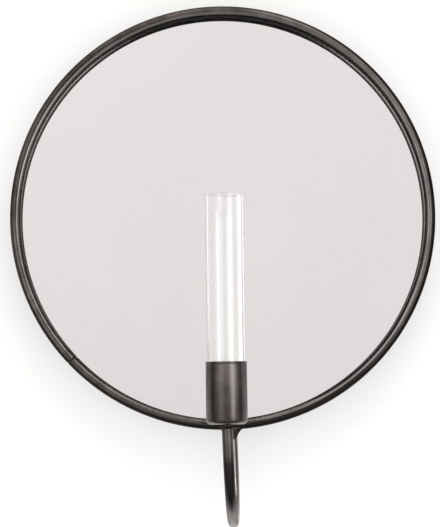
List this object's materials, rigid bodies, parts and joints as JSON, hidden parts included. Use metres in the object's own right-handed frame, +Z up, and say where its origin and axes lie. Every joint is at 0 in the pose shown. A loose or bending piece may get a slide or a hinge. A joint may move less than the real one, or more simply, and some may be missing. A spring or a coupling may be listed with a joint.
{
  "type": "round wall mirror with tube vase",
  "caption": "Round wall mirror in a ring of bent steel bar, with a hooked arm under the ring that holds a lift-out glass tube vase in a metal cup.",
  "frame": {"origin": "centre of the round entry of the hanger's keyhole, on the wall plane", "axes": "+Z up, +Y into the wall, so the mirror's front faces -Y"},
  "size_m": [0.25, 0.1058, 0.3039],
  "materials": {
    "dark_steel": "satin",
    "silvered_glass": "polished",
    "foam_sheet": "matte",
    "fibreboard": "matte",
    "zinc_steel": "satin",
    "soft_pad": "matte",
    "clear_glass": "polished"
  },
  "bodies": {
    "mirror": {"front_ring": "dark_steel", "rim_band": "dark_steel", "mirror_glass": "silvered_glass", "buffer_sheet": "foam_sheet", "backing_board": "fibreboard", "retaining_tab_1": "dark_steel", "retaining_tab_2": "dark_steel", "retaining_tab_3": "dark_steel", "retaining_tab_4": "dark_steel", "retaining_tab_5": "dark_steel", "retaining_tab_6": "dark_steel", "hanger_plate": "zinc_steel", "hanger_screws": "zinc_steel", "arm_rod": "dark_steel", "arm_weld": "dark_steel", "socket_cup": "dark_steel", "cup_weld": "dark_steel", "tube_pad": "soft_pad"},
    "tube": {"glass_tube": "clear_glass"}
  },
  "joints": [
    {"name": "tube_lift", "type": "slide", "parent": "mirror", "child": "tube", "axis": [0, 0, 1], "range_m": [0, 0.06]}
  ]
}
